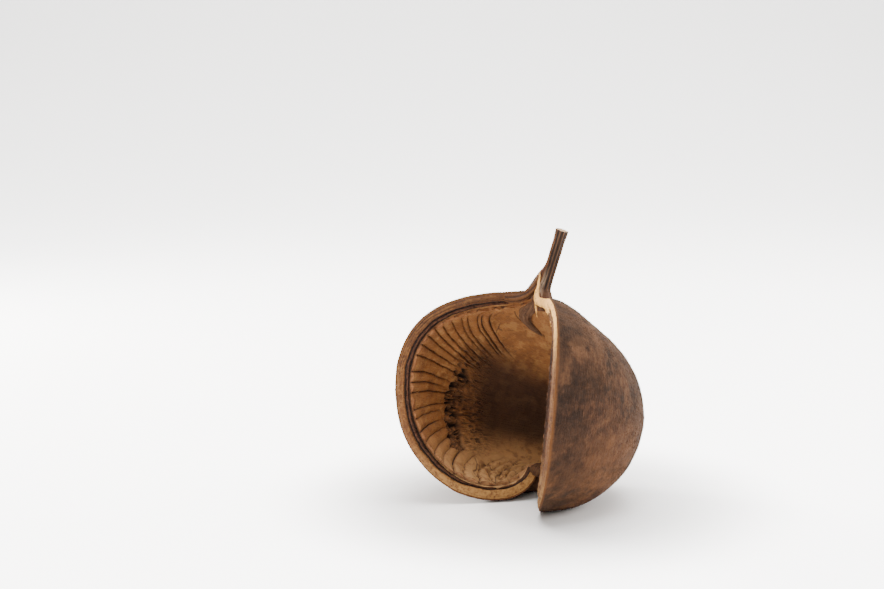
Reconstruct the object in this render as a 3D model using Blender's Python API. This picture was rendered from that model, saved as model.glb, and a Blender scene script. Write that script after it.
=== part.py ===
# Buddha nut: a dry woody seed pod, open along its front seam into two bowl-shaped halves.
# The halves are grown together at the back, a fluted stalk stands on top and a notch closes
# the underside. The whole pod is one piece. Lengths are in millimetres until the last step.
import math

import bmesh
import bpy
import numpy as np

# Overall form: half-plane outlines round the axis from the stem point to the tip.
GAPE_DEG = 83.0
STEM_Z = 117.1
TIP_Z = 21.5
BACK_RADIUS = 58.0
LIP_RADIUS = 78.6
LIP_FLARE = 0.4
WALL = 9.0
WALL_GROWTH_RADIUS = 7.0
TIP_THINNING = 0.2
FLARE_POWER = 8

# One outline is two cubic curves, from the stem point to the widest point and on to the tip.
# Each pair gives the value at the back of the pod and the value at the lips.
WIDEST_Z = (38.0, 63.5)
TOP_HANDLE = (16.0, 15.0)
TOP_ANGLE_DEG = (-38.0, -19.0)
UPPER_HANDLE = (28.0, 57.0)
LOWER_HANDLE = (28.0, 59.0)
TIP_HANDLE = (39.2, 47.1)
TIP_ANGLE_DEG = (80.0, 82.0)

# The right lip bends back a little at its two ends.
RIGHT_SWAY_DEG = 7.0

# The tip sits a little to one side of the axis.
TIP_SHIFT = (4.5, 4.0)
TIP_SHIFT_RADIUS = 45.0

# Grid of the shell.
FURROWS = 22
ROWS_PER_FURROW = 3
SKIN_COLUMNS = 22
END_MARGIN = 0.02
LENGTH_SAMPLES = 801

# Relief.
FURROW_DEPTH = 0.9
RIB_RISE = 0.3
FURROW_INNER_EDGE = 0.30
FURROW_FULL_EDGE = 0.62
FURROW_AT_LIP = 0.4
SWELL = 0.7
SWELLS_AROUND = 3.0
SWELL_DRIFT = 5.0

# Section of a lip, from the skin to the lining: share of the wall, height of the edge.
LIP_SECTION = ((0.16, 0.8), (0.48, 0.4), (0.64, -2.3), (0.84, -0.6))
LINING_EDGE = -1.2
LIP_FORM_RADIUS = 20.0

# Stalk with the root that hangs into the hollow: height from the stem point, radius.
STALK_RINGS = ((-24.0, 0.9), (-19.0, 2.4), (-13.0, 4.0), (-7.0, 5.6), (-2.0, 6.6), (1.5, 6.3),
               (5.0, 5.2), (9.0, 4.3), (14.0, 3.8), (20.0, 3.6), (26.0, 3.6), (30.0, 3.7),
               (33.2, 3.9))
STALK_LEAN_DEG = 13.8
STALK_LEAN_TOWARD_DEG = 9.0
STALK_FLUTES = 11
STALK_SIDES = 33
FLUTE_DEPTH = 0.13
FLUTE_START = 2.0
FLUTE_RUN_OUT = 6.0
SHOULDER_RISE = 0.55
SHOULDER_Z = 0.5
SHOULDER_SPREAD = 4.5
SHOULDER_POWER = 4
FRONT_RIGHT_DEG = 38.0
CUT_SLOPE = 0.09
ROOT_SHIFT = 0.3

# Knot in which the two halves meet over the notch.
BEAK_RADIUS = (7.6, 7.2, 4.6)
BEAK_DROP = 4.2
BEAK_BACK = 1.5
BEAK_SIDES = 18
BEAK_RINGS = 7

# Depth of the flat spots the pod rests on, and the search for its resting place.
FLAT_DEPTH = 0.35
SETTLE_STEPS = 30
SIDE_SECTOR_DEG = 60.0
BACK_SECTOR_DEG = 45.0
LEVEL_ENOUGH = 0.000001

# Step of t and f for slopes.
SLOPE_STEP = 0.002

MM = 0.001
MERGE_DISTANCE = 0.00001

HUSK_COLOR = (0.19, 0.12, 0.075, 1.0)
HUSK_ROUGHNESS = 0.85


def ease(x):
    x = np.clip(x, 0.0, 1.0)
    return x * x * (3.0 - 2.0 * x)


def blend(pair, k):
    return pair[0] + (pair[1] - pair[0]) * ease(k)


def cubic(a, b, c, d, u):
    v = 1.0 - u
    return v ** 3 * a + 3.0 * v * v * u * b + 3.0 * v * u * u * c + u ** 3 * d


def outline(k, t):
    # Radius and height of the skin: k is 0 at the back and 1 at a lip, t runs stalk to tip.
    widest = BACK_RADIUS + (LIP_RADIUS - BACK_RADIUS) * (
        (1.0 - LIP_FLARE) * k ** 2 + LIP_FLARE * k ** FLARE_POWER)
    middle = blend(WIDEST_Z, k)
    top_angle = np.radians(blend(TOP_ANGLE_DEG, k))
    tip_angle = np.radians(blend(TIP_ANGLE_DEG, k))
    top_handle = blend(TOP_HANDLE, k)
    tip_handle = blend(TIP_HANDLE, k)
    upper = t <= 0.5
    u = np.where(upper, 2.0 * t, 2.0 * t - 1.0)
    radius = np.where(
        upper,
        cubic(0.0, top_handle * np.cos(top_angle), widest, widest, u),
        cubic(widest, widest, tip_handle * np.cos(tip_angle), 0.0, u))
    height = np.where(
        upper,
        cubic(STEM_Z, STEM_Z + top_handle * np.sin(top_angle),
              middle + blend(UPPER_HANDLE, k), middle, u),
        cubic(middle, middle - blend(LOWER_HANDLE, k),
              TIP_Z - tip_handle * np.sin(tip_angle), TIP_Z, u))
    return radius, height


def skin(f, t):
    # f runs from -1 at the left lip over 0 at the back to 1 at the right lip.
    radius, height = outline(np.abs(f), t)
    reach = 180.0 - GAPE_DEG / 2.0
    sway = RIGHT_SWAY_DEG * ease(np.clip(f, 0.0, 1.0)) * (1.0 - np.sin(np.pi * t))
    angle = np.radians(f * reach - sway)
    radius = radius + SWELL * np.sin(np.pi * t) ** 2 * np.sin(SWELLS_AROUND * angle + SWELL_DRIFT * t)
    shift = np.where(t > 0.5, ease(1.0 - radius / TIP_SHIFT_RADIUS), 0.0)
    return np.stack([radius * np.sin(angle) + TIP_SHIFT[0] * shift,
                     radius * np.cos(angle) + TIP_SHIFT[1] * shift, height], axis=-1)


def unit(vectors):
    return vectors / np.maximum(np.linalg.norm(vectors, axis=-1, keepdims=True), 1e-9)


def skin_frame(f, t):
    # Direction into the wall, and direction round the pod toward growing f.
    around = skin(f + SLOPE_STEP, t) - skin(f - SLOPE_STEP, t)
    below = skin(f, np.minimum(t + SLOPE_STEP, 1.0))
    above = skin(f, np.maximum(t - SLOPE_STEP, 0.0))
    return unit(np.cross(below - above, around)), unit(around)


def wall_share(f, t):
    # The wall thins out round the stem point, and hardly at all round the tip.
    radius, _ = outline(np.abs(f), t)
    thinning = np.where(t < 0.5, 1.0, TIP_THINNING)
    return 1.0 - thinning * np.exp(-radius / WALL_GROWTH_RADIUS)


def lining(f, t, relief):
    points = skin(f, t)
    inward, _ = skin_frame(f, t)
    depth = (WALL + relief) * wall_share(f, t)
    return points + inward * depth[..., None]


def row_positions(rows):
    # Rows spaced evenly along the outline of a lip.
    t = np.linspace(0.0, 1.0, LENGTH_SAMPLES)
    radius, height = outline(np.ones_like(t), t)
    length = np.concatenate([[0.0], np.cumsum(np.hypot(np.diff(radius), np.diff(height)))])
    wanted = np.linspace(END_MARGIN, 1.0 - END_MARGIN, rows + 1) * length[-1]
    return np.interp(wanted, length, t)


def lip_points(outer, inner, out):
    return [outer + (inner - outer) * part + out * rise for part, rise in LIP_SECTION]


def shell_rows():
    # One closed loop a row: skin left to right, right lip, lining right to left, left lip.
    rows = FURROWS * ROWS_PER_FURROW
    f = np.linspace(-1.0, 1.0, SKIN_COLUMNS + 1)
    fade = ease((np.abs(f) - FURROW_INNER_EDGE) / (FURROW_FULL_EDGE - FURROW_INNER_EDGE))
    fade[[0, -1]] = FURROW_AT_LIP
    loops = []
    for index, t in enumerate(row_positions(rows)):
        at = np.full_like(f, t)
        cut = -FURROW_DEPTH if index % ROWS_PER_FURROW == 0 else RIB_RISE
        near_end = np.sin(np.pi * index / rows) ** 0.5
        outside = skin(f, at)
        inside = lining(f, at, cut * fade * near_end)
        form = ease(outline(1.0, t)[0] / LIP_FORM_RADIUS)
        _, around = skin_frame(f, at)
        left_out = -around[0] * form
        right_out = around[-1] * form
        left = lip_points(outside[0], inside[0], left_out)
        right = lip_points(outside[-1], inside[-1], right_out)
        inside[0] += left_out * LINING_EDGE
        inside[-1] += right_out * LINING_EDGE
        loops.append([*outside, *right, *inside[::-1], *left[::-1]])
    return np.array(loops)


def tube_faces(count, sides):
    # Quads between neighbouring rings of a loft.
    faces = []
    for i in range(count - 1):
        for j in range(sides):
            a = i * sides + j
            b = i * sides + (j + 1) % sides
            faces.append((a, b, b + sides, a + sides))
    return faces


def end_cap(columns):
    # Faces that close the wall's cut end, from the skin across to the lining.
    first_inner = SKIN_COLUMNS + len(LIP_SECTION) + 1
    caps = [tuple(range(SKIN_COLUMNS, first_inner + 1)),
            (*range(first_inner + SKIN_COLUMNS, columns), 0)]
    for j in range(SKIN_COLUMNS):
        across = first_inner + SKIN_COLUMNS - j
        caps.append((j, j + 1, across - 1, across))
    return caps


def shell_mesh():
    loops = shell_rows()
    rows, columns, _ = loops.shape
    faces = tube_faces(rows, columns)
    last = (rows - 1) * columns
    for cap in end_cap(columns):
        faces.append(cap[::-1])
        faces.append(tuple(last + j for j in cap))
    return loops.reshape(-1, 3), faces


def ring_mesh(rings):
    # Closed loft through rings of equal length.
    rings = np.array(rings)
    count, sides, _ = rings.shape
    last = (count - 1) * sides
    caps = [tuple(range(sides))[::-1], tuple(last + j for j in range(sides))]
    return rings.reshape(-1, 3), tube_faces(count, sides) + caps


def flat_direction(degrees):
    turn = math.radians(degrees)
    return np.array([math.cos(turn), math.sin(turn), 0.0])


def stalk_radius(radius, height, angle):
    # Flutes run up the stalk, and a shoulder runs out into each lip at its foot.
    flute = FLUTE_DEPTH * float(ease((height - FLUTE_START) / FLUTE_RUN_OUT))
    size = radius * (1.0 - flute * (0.5 + 0.5 * math.cos(STALK_FLUTES * angle)))
    shoulder = SHOULDER_RISE * math.exp(-((height - SHOULDER_Z) / SHOULDER_SPREAD) ** 2)
    lip = math.radians(180.0 - GAPE_DEG / 2.0)
    for lip_angle in (-lip, lip):
        size += radius * shoulder * max(math.cos(angle - lip_angle), 0.0) ** SHOULDER_POWER
    return size


def stalk_mesh():
    lean = flat_direction(STALK_LEAN_TOWARD_DEG) * math.tan(math.radians(STALK_LEAN_DEG))
    front_right = flat_direction(FRONT_RIGHT_DEG - 90.0)
    top = STALK_RINGS[-1][0]
    rings = []
    for height, radius in STALK_RINGS:
        centre = lean * max(height, 0.0) + front_right * ROOT_SHIFT * min(height, 0.0)
        tilt = -lean * max(height, 0.0) / top
        if height == top:
            tilt -= front_right * CUT_SLOPE
        ring = []
        for j in range(STALK_SIDES):
            angle = -2.0 * math.pi * j / STALK_SIDES
            spoke = np.array([math.sin(angle), math.cos(angle), 0.0])
            spoke *= stalk_radius(radius, height, angle)
            point = centre + spoke
            point[2] = STEM_Z + height + np.dot(tilt, spoke)
            ring.append(point)
        rings.append(ring)
    return ring_mesh(rings)


def beak_mesh():
    rings = []
    for i in range(BEAK_RINGS):
        turn = math.pi * (i + 0.5) / BEAK_RINGS
        width = math.sin(turn)
        height = TIP_Z - BEAK_DROP - BEAK_RADIUS[2] * math.cos(turn)
        ring = []
        for j in range(BEAK_SIDES):
            angle = 2.0 * math.pi * j / BEAK_SIDES
            ring.append((TIP_SHIFT[0] + BEAK_RADIUS[0] * width * math.cos(angle),
                         TIP_SHIFT[1] + BEAK_BACK + BEAK_RADIUS[1] * width * math.sin(angle),
                         height))
        rings.append(ring)
    return ring_mesh(rings)


def turn_matrix(axis, angle):
    cross = np.array([[0.0, -axis[2], axis[1]], [axis[2], 0.0, -axis[0]], [-axis[1], axis[0], 0.0]])
    return np.eye(3) + math.sin(angle) * cross + (1.0 - math.cos(angle)) * cross @ cross


def settle(points):
    # Turn that sets the two lobes and the back on the floor together.
    angles = np.degrees(np.arctan2(points[:, 0], points[:, 1]))
    sectors = (angles < -SIDE_SECTOR_DEG, angles > SIDE_SECTOR_DEG, np.abs(angles) < BACK_SECTOR_DEG)
    total = np.eye(3)
    for _ in range(SETTLE_STEPS):
        turned = points @ total.T
        feet = [turned[mask][np.argmin(turned[mask][:, 2])] for mask in sectors]
        normal = unit(np.cross(feet[1] - feet[0], feet[2] - feet[0]))
        if normal[2] < 0.0:
            normal = -normal
        axis = np.cross(normal, [0.0, 0.0, 1.0])
        length = np.linalg.norm(axis)
        if length < LEVEL_ENOUGH:
            break
        total = turn_matrix(axis / length, math.asin(min(length, 1.0))) @ total
    return total


def make_object(name, points, faces):
    mesh = bpy.data.meshes.new(name)
    mesh.from_pydata([tuple(point) for point in points], [], faces)
    mesh.validate()
    thing = bpy.data.objects.new(name, mesh)
    bpy.context.scene.collection.objects.link(thing)
    return thing


def join(body, other):
    modifier = body.modifiers.new("join", "BOOLEAN")
    modifier.operation = "UNION"
    modifier.solver = "MANIFOLD"
    modifier.object = other
    depsgraph = bpy.context.evaluated_depsgraph_get()
    mesh = bpy.data.meshes.new_from_object(body.evaluated_get(depsgraph))
    body.modifiers.remove(modifier)
    body.data = mesh
    bpy.data.objects.remove(other)


def clean(thing):
    # Weld what the unions left, and centre the pod over the origin.
    work = bmesh.new()
    work.from_mesh(thing.data)
    bmesh.ops.remove_doubles(work, verts=work.verts, dist=MERGE_DISTANCE)
    bmesh.ops.dissolve_degenerate(work, edges=work.edges, dist=MERGE_DISTANCE)
    bmesh.ops.triangulate(work, faces=work.faces)
    bmesh.ops.recalc_face_normals(work, faces=work.faces)
    points = np.array([vertex.co[:] for vertex in work.verts])
    middle = (points.max(axis=0) + points.min(axis=0)) / 2.0
    bmesh.ops.translate(work, verts=work.verts, vec=(-middle[0], -middle[1], 0.0))
    work.to_mesh(thing.data)
    work.free()


def husk_material():
    material = bpy.data.materials.new("husk")
    material.use_nodes = True
    shader = material.node_tree.nodes["Principled BSDF"]
    shader.inputs["Base Color"].default_value = HUSK_COLOR
    shader.inputs["Roughness"].default_value = HUSK_ROUGHNESS
    return material


def main():
    for thing in list(bpy.data.objects):
        bpy.data.objects.remove(thing)

    shapes = {"pod": shell_mesh(), "stalk": stalk_mesh(), "beak": beak_mesh()}
    turn = settle(shapes["pod"][0])
    floor = (shapes["pod"][0] @ turn.T)[:, 2].min() + FLAT_DEPTH
    things = {}
    for name, (points, faces) in shapes.items():
        points = points @ turn.T
        points[:, 2] = np.maximum(points[:, 2] - floor, 0.0)
        things[name] = make_object(name, points * MM, faces)
    pod = things["pod"]
    join(pod, things["stalk"])
    join(pod, things["beak"])
    clean(pod)
    pod.data.materials.clear()
    pod.data.materials.append(husk_material())

    collection = bpy.data.collections.new("buddha_nut")
    bpy.context.scene.collection.children.link(collection)
    bpy.context.scene.collection.objects.unlink(pod)
    collection.objects.link(pod)


main()
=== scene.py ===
# Buddha nut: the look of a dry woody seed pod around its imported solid.
# Lengths are in millimetres in the form functions, and in metres in Blender.
import math

import bpy
import numpy as np
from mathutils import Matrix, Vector, noise


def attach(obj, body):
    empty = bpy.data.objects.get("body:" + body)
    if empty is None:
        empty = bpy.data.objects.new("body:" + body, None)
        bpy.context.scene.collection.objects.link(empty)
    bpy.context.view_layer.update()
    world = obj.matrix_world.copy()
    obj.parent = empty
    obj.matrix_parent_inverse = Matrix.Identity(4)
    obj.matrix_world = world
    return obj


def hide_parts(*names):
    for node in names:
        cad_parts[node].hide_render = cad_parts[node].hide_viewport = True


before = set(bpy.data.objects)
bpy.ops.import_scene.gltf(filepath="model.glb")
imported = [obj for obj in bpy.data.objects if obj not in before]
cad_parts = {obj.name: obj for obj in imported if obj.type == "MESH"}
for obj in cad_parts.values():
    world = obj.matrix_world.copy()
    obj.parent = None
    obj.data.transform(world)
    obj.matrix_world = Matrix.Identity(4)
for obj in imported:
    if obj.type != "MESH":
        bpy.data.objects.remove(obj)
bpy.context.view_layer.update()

MM = 0.001

# Form of the pod, with the same values as its solid.
GAPE_DEG = 83.0
STEM_Z = 117.1
TIP_Z = 21.5
BACK_RADIUS = 58.0
LIP_RADIUS = 78.6
LIP_FLARE = 0.4
WALL = 9.0
WALL_GROWTH_RADIUS = 7.0
TIP_THINNING = 0.2
FLARE_POWER = 8
WIDEST_Z = (38.0, 63.5)
TOP_HANDLE = (16.0, 15.0)
TOP_ANGLE_DEG = (-38.0, -19.0)
UPPER_HANDLE = (28.0, 57.0)
LOWER_HANDLE = (28.0, 59.0)
TIP_HANDLE = (39.2, 47.1)
TIP_ANGLE_DEG = (80.0, 82.0)
RIGHT_SWAY_DEG = 7.0
TIP_SHIFT = (4.5, 4.0)
TIP_SHIFT_RADIUS = 45.0
END_MARGIN = 0.02
LENGTH_SAMPLES = 801
SWELL = 0.7
SWELLS_AROUND = 3.0
SWELL_DRIFT = 5.0
LIP_FORM_RADIUS = 20.0
SLOPE_STEP = 0.002

# Round the stem point the skin dips, except beside the left lip.
STEM_DIP = 4.0
STEM_DIP_RADIUS = 15.0
STEM_DIP_F = (-0.9, 0.5)

# The right half is a little flatter on its upper shoulder: depth, middle and size in f and t.
FLAT_SHOULDER = 3.6
FLAT_AT = (0.68, 0.24)
FLAT_SIZE = (0.35, 0.12)
FLAT_TILT = math.radians(52.0)

# How the solid rests: leaning back on its flat spots, centred over the origin.
LEAN_DEG = -6.985
ROLL_DEG = -0.115
REST_LIFT = 0.396
REST_SHIFT = (-0.350, -5.376)

# Millimetres round the pod and along it for one unit of f and of s.
ROUND_MM = 157.0
ALONG_MM = 250.0


def ease(x):
    x = np.clip(x, 0.0, 1.0)
    return x * x * (3.0 - 2.0 * x)


def blend(pair, k):
    return pair[0] + (pair[1] - pair[0]) * ease(k)


def rise(x, zone):
    # From 0 to 1 over a zone, given as its start and its width; a negative width falls.
    return ease((x - zone[0]) / zone[1])


def within(x, zones):
    # 1 between a zone that rises and one that falls.
    return rise(x, zones[0]) * rise(x, zones[1])


def run_along(points):
    # Length from a path's first point to each of its points.
    return np.concatenate([[0.0], np.cumsum(np.linalg.norm(np.diff(points, axis=0), axis=1))])


def even_steps(rows, run, steps):
    # The rows of a path again, at even lengths.
    wanted = np.linspace(0.0, run[-1], steps + 1)
    return np.stack([np.interp(wanted, run, column) for column in rows.T], axis=1)


def cubic(a, b, c, d, u):
    v = 1.0 - u
    return v ** 3 * a + 3.0 * v * v * u * b + 3.0 * v * u * u * c + u ** 3 * d


def outline(k, t):
    # Radius and height of the skin: k is 0 at the back and 1 at a lip, t runs stalk to tip.
    widest = BACK_RADIUS + (LIP_RADIUS - BACK_RADIUS) * (
        (1.0 - LIP_FLARE) * k ** 2 + LIP_FLARE * k ** FLARE_POWER)
    middle = blend(WIDEST_Z, k)
    top_angle = np.radians(blend(TOP_ANGLE_DEG, k))
    tip_angle = np.radians(blend(TIP_ANGLE_DEG, k))
    top_handle = blend(TOP_HANDLE, k)
    tip_handle = blend(TIP_HANDLE, k)
    upper = t <= 0.5
    u = np.where(upper, 2.0 * t, 2.0 * t - 1.0)
    radius = np.where(
        upper,
        cubic(0.0, top_handle * np.cos(top_angle), widest, widest, u),
        cubic(widest, widest, tip_handle * np.cos(tip_angle), 0.0, u))
    height = np.where(
        upper,
        cubic(STEM_Z, STEM_Z + top_handle * np.sin(top_angle),
              middle + blend(UPPER_HANDLE, k), middle, u),
        cubic(middle, middle - blend(LOWER_HANDLE, k),
              TIP_Z - tip_handle * np.sin(tip_angle), TIP_Z, u))
    return radius, height


def skin(f, t):
    # f runs from -1 at the left lip over 0 at the back to 1 at the right lip.
    radius, height = outline(np.abs(f), t)
    reach = 180.0 - GAPE_DEG / 2.0
    sway = RIGHT_SWAY_DEG * ease(np.clip(f, 0.0, 1.0)) * (1.0 - np.sin(np.pi * t))
    angle = np.radians(f * reach - sway)
    swell = SWELL * np.sin(np.pi * t) ** 2
    radius = radius + swell * np.sin(SWELLS_AROUND * angle + SWELL_DRIFT * t)
    aside, below = (f - FLAT_AT[0]) / FLAT_SIZE[0], (t - FLAT_AT[1]) / FLAT_SIZE[1]
    flat = FLAT_SHOULDER * np.exp(-aside ** 2 - below ** 2)
    radius = radius - flat * math.cos(FLAT_TILT)
    height = height - flat * math.sin(FLAT_TILT)
    dip = STEM_DIP * rise(f, STEM_DIP_F) * np.exp(-(radius / STEM_DIP_RADIUS) ** 2)
    height = height - np.where(t < 0.5, dip, 0.0)
    shift = np.where(t > 0.5, ease(1.0 - radius / TIP_SHIFT_RADIUS), 0.0)
    return np.stack([radius * np.sin(angle) + TIP_SHIFT[0] * shift,
                     radius * np.cos(angle) + TIP_SHIFT[1] * shift, height], axis=-1)


def unit(vectors):
    return vectors / np.maximum(np.linalg.norm(vectors, axis=-1, keepdims=True), 1e-9)


def skin_frame(f, t):
    # Direction into the wall, and direction round the pod toward growing f.
    around = skin(f + SLOPE_STEP, t) - skin(f - SLOPE_STEP, t)
    below = skin(f, np.minimum(t + SLOPE_STEP, 1.0))
    above = skin(f, np.maximum(t - SLOPE_STEP, 0.0))
    return unit(np.cross(below - above, around)), unit(around)


def wall_share(f, t):
    # The wall thins out round the stem point, and hardly at all round the tip.
    radius, _ = outline(np.abs(f), t)
    thinning = np.where(t < 0.5, 1.0, TIP_THINNING)
    return 1.0 - thinning * np.exp(-radius / WALL_GROWTH_RADIUS)


def under_skin(f, t, depth):
    # Points at a depth in the wall, counted where the wall has its full thickness.
    return skin(f, t) + skin_frame(f, t)[0] * (depth * wall_share(f, t))[..., None]


def lip_form(t):
    # The lips' own section fades out toward stalk and tip.
    return ease(outline(1.0, t)[0] / LIP_FORM_RADIUS)


def along_lip():
    t = np.linspace(0.0, 1.0, LENGTH_SAMPLES)
    length = run_along(np.stack(outline(np.ones_like(t), t), axis=1))
    return t, length / length[-1]


LIP_T, LIP_LENGTH = along_lip()


def t_at(s):
    # s runs evenly along the lip's length, from the stalk to the tip.
    return np.interp(END_MARGIN + (1.0 - 2.0 * END_MARGIN) * np.asarray(s), LIP_LENGTH, LIP_T)


def place(points):
    # From the form's own axes to the resting pod, in metres.
    lean = math.radians(LEAN_DEG)
    roll = math.radians(ROLL_DEG)
    lean_turn = np.array([[1.0, 0.0, 0.0],
                          [0.0, math.cos(lean), -math.sin(lean)],
                          [0.0, math.sin(lean), math.cos(lean)]])
    roll_turn = np.array([[math.cos(roll), 0.0, math.sin(roll)],
                          [0.0, 1.0, 0.0],
                          [-math.sin(roll), 0.0, math.cos(roll)]])
    placed = points @ (lean_turn @ roll_turn).T
    placed[..., 0] += REST_SHIFT[0]
    placed[..., 1] += REST_SHIFT[1]
    placed[..., 2] = np.maximum(placed[..., 2] + REST_LIFT, 0.0)
    return placed * MM


# Noise, all from fixed seeds.
SEED_STEP = 17.31


def rough(points, size, seed):
    # Smooth noise of about -1 to 1; size is the grain in mm, one number or one an axis.
    where = np.asarray(points) / np.asarray(size, dtype=float) + seed * SEED_STEP
    values = [noise.noise(point) for point in where.reshape(-1, 3).tolist()]
    return np.array(values).reshape(where.shape[:-1])


def grain(f, s):
    # Surface coordinates in mm: round the pod, along it, and nothing.
    f, s = np.broadcast_arrays(f, s)
    return np.stack([f * ROUND_MM, s * ALONG_MM, np.zeros_like(f, dtype=float)], axis=-1)


def ridged(points, size, seed):
    # Sharp crests at 1 with rounded valleys toward 0.
    return 1.0 - np.abs(rough(points, size, seed)) * 2.0


# Mesh helpers.
def deselect():
    if bpy.context.object and bpy.context.object.mode != "OBJECT":
        bpy.ops.object.mode_set(mode="OBJECT")
    bpy.ops.object.select_all(action="DESELECT")


def store(piece, masks, flow=None):
    # Per-vertex masks for the materials, and the direction in which the fibres run.
    for name, values in masks.items():
        layer = piece.data.attributes.new(name, "FLOAT", "POINT")
        layer.data.foreach_set("value", np.ascontiguousarray(values, dtype=np.float32).ravel())
    if flow is not None:
        layer = piece.data.attributes.new("flow", "FLOAT_VECTOR", "POINT")
        layer.data.foreach_set("vector", np.ascontiguousarray(flow * MM, dtype=np.float32).ravel())


def wrap(values):
    return np.concatenate([values, values[:, :1]], axis=1)


def raw_points(piece):
    raw = np.empty(len(piece.data.vertices) * 3)
    piece.data.vertices.foreach_get("co", raw)
    return raw.reshape(-1, 3)


def set_points(piece, points):
    piece.data.vertices.foreach_set("co", place(points).ravel())


def face_outward():
    # Ends edit mode with all faces turned out.
    bpy.ops.mesh.select_all(action="SELECT")
    bpy.ops.mesh.normals_make_consistent(inside=False)
    bpy.ops.object.mode_set(mode="OBJECT")


def loft(name, loops, masks, flow):
    # Closed skin through loops of points: a grid laid round them, seam merged, ends filled.
    rows, columns, _ = loops.shape
    deselect()
    bpy.ops.mesh.primitive_grid_add(x_subdivisions=columns, y_subdivisions=rows - 1, size=1.0)
    piece = bpy.context.object
    piece.name = name
    set_points(piece, wrap(loops))
    store(piece, {key: wrap(value) for key, value in masks.items()}, wrap(flow))
    bpy.ops.object.mode_set(mode="EDIT")
    bpy.ops.mesh.select_all(action="SELECT")
    bpy.ops.mesh.remove_doubles(threshold=0.0000005)
    bpy.ops.mesh.select_all(action="SELECT")
    bpy.ops.mesh.fill_holes(sides=0)
    face_outward()
    bpy.ops.object.shade_smooth()
    return piece


def keep(piece, material):
    # Every piece is part of the one grown pod.
    piece.data.materials.clear()
    piece.data.materials.append(material)
    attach(piece, "root")
    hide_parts("pod")


# Skin: the outer layer with its rolled edges.
SKIN_ROWS = 300
SKIN_COLUMNS = 276
SKIN_BACK_COLUMNS = 34
SKIN_EDGE = ((0.10, 0.30), (0.35, 0.50), (0.70, 0.40), (1.1, -0.40))
SKIN_INNER_DEPTH = 2.2
SKIN_RIM_F = (0.992, 0.008)
# Skin beside the right lip takes painted shade from this f on.
SKIN_NEAR_SHADE_F = (0.72, 0.28)

# Noise on the skin: height in mm, grain in mm and seed.
DENTS = ((0.45, 26.0, 1), (0.20, 9.0, 2))
STREAKS = (0.12, (1.9, 17.0, 1.0), 3)
PILE = (0.06, 2.4, 4)


def waves(where, kind):
    height, size, seed = kind
    return height * rough(where, size, seed)


def dents(base):
    return sum(waves(base, kind) for kind in DENTS)


def skin_relief(f, s, base):
    return dents(base) + waves(grain(f, s), STREAKS) + waves(base, PILE)


def skin_grid():
    s = np.linspace(0.0, 1.0, SKIN_ROWS + 1)
    f = np.linspace(-1.0, 1.0, SKIN_COLUMNS + 1)
    ff, ss = np.meshgrid(f, s)
    tt = t_at(ss)
    base = skin(ff, tt)
    inward, around = skin_frame(ff, tt)
    outer = base - inward * skin_relief(ff, ss, base)[..., None]
    return ff, ss, tt, outer, inward, around


def make_skin(material):
    ff, ss, tt, outer, inward, around = skin_grid()
    t = tt[:, 0]
    share = wall_share(1.0, t)[:, None]
    form = lip_form(t)[:, None]
    ragged = 1.0 + 0.5 * rough(grain(0.0, ss[:, 0]), 3.0, 5)[:, None]

    def edge(column, sign):
        return [outer[:, column] + inward[:, column] * depth * share
                + around[:, column] * sign * lift * form * ragged for depth, lift in SKIN_EDGE]

    back = np.linspace(1.0, -1.0, SKIN_BACK_COLUMNS + 1)
    bb, bs = np.meshgrid(back, ss[:, 0])
    inner = under_skin(bb, t_at(bs), SKIN_INNER_DEPTH)
    right = np.stack(edge(-1, 1.0), axis=1)
    left = np.stack(edge(0, -1.0)[::-1], axis=1)
    loops = np.concatenate([outer, right, inner, left], axis=1)
    edges = len(SKIN_EDGE)
    f_all = np.concatenate([ff[0], np.ones(edges), back, -np.ones(edges)])
    rim = np.concatenate([rise(np.abs(ff[0]), SKIN_RIM_F), np.ones(edges),
                          np.zeros(len(back)), np.ones(edges)])
    flow = grain(*np.meshgrid(f_all, ss[:, 0]))
    # The near mask carries painted shade onto the skin beside the right lip.
    masks = {"edge": np.broadcast_to(rim, loops.shape[:2]),
             "near": np.broadcast_to(rise(f_all, SKIN_NEAR_SHADE_F), loops.shape[:2])}
    piece = loft("skin", loops, masks, flow)
    keep(piece, material)
    return outer, inward


# Lips: the woody wall where the pod has split, seen as a rim with a dark fissure inside it.
# Each pair is depth from the skin and height over the lip's edge.
LIP_ROWS = 640
LIP_PROFILE = ((0.40, -1.6), (0.55, -0.4), (0.80, 0.30), (1.20, 0.70), (1.9, 0.92), (2.8, 0.95),
               (3.7, 0.85), (4.4, 0.55), (4.7, 0.05), (4.95, -0.85), (5.2, -1.50), (5.6, -1.35),
               (6.1, -0.70), (6.55, -0.50), (7.0, -0.90), (7.3, -1.9), (7.6, -2.5), (8.1, -2.2),
               (8.8, -2.4))
LIP_ACROSS = 44
LIP_FOOT = ((8.4, -6.5), (4.6, -7.0), (0.9, -6.5))
WIDE_RIM = 0.9
RIM_DEPTH = 5.0
LIP_GROOVES = ((1.6, 31), (2.8, 32), (4.0, 33))
GROOVE_WIDTH = 0.28
GROOVE_DEPTH = 0.40
GROOVE_SHARE = {-1.0: (1.0, 0.25), 1.0: (0.35, 0.35)}
GROOVE_S = (0.40, 0.10)
LIP_SEED = {-1.0: 10, 1.0: 20}
WIDE_S = ((0.72, 0.12), (0.99, -0.06))
RIM_ZONE = ((0.5, 0.6), (5.2, -0.5))
RIDGE_SHARE = {-1.0: (1.0, 0.45), 1.0: (0.4, 0.4)}
RIDGE_S = (0.45, 0.25)
TORN_LIP = (4.9, 0.6)
SPLIT_ZONE = (4.65, 0.45)
FISSURES = ((5.25, 0.34), (7.6, 0.45))
FISSURE_RIDGE = (6.45, 0.45)
RIM_CREST = 0.8
CREST_S = (0.10, -0.05)
DARK_END_S = (0.022, -0.022)
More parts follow.
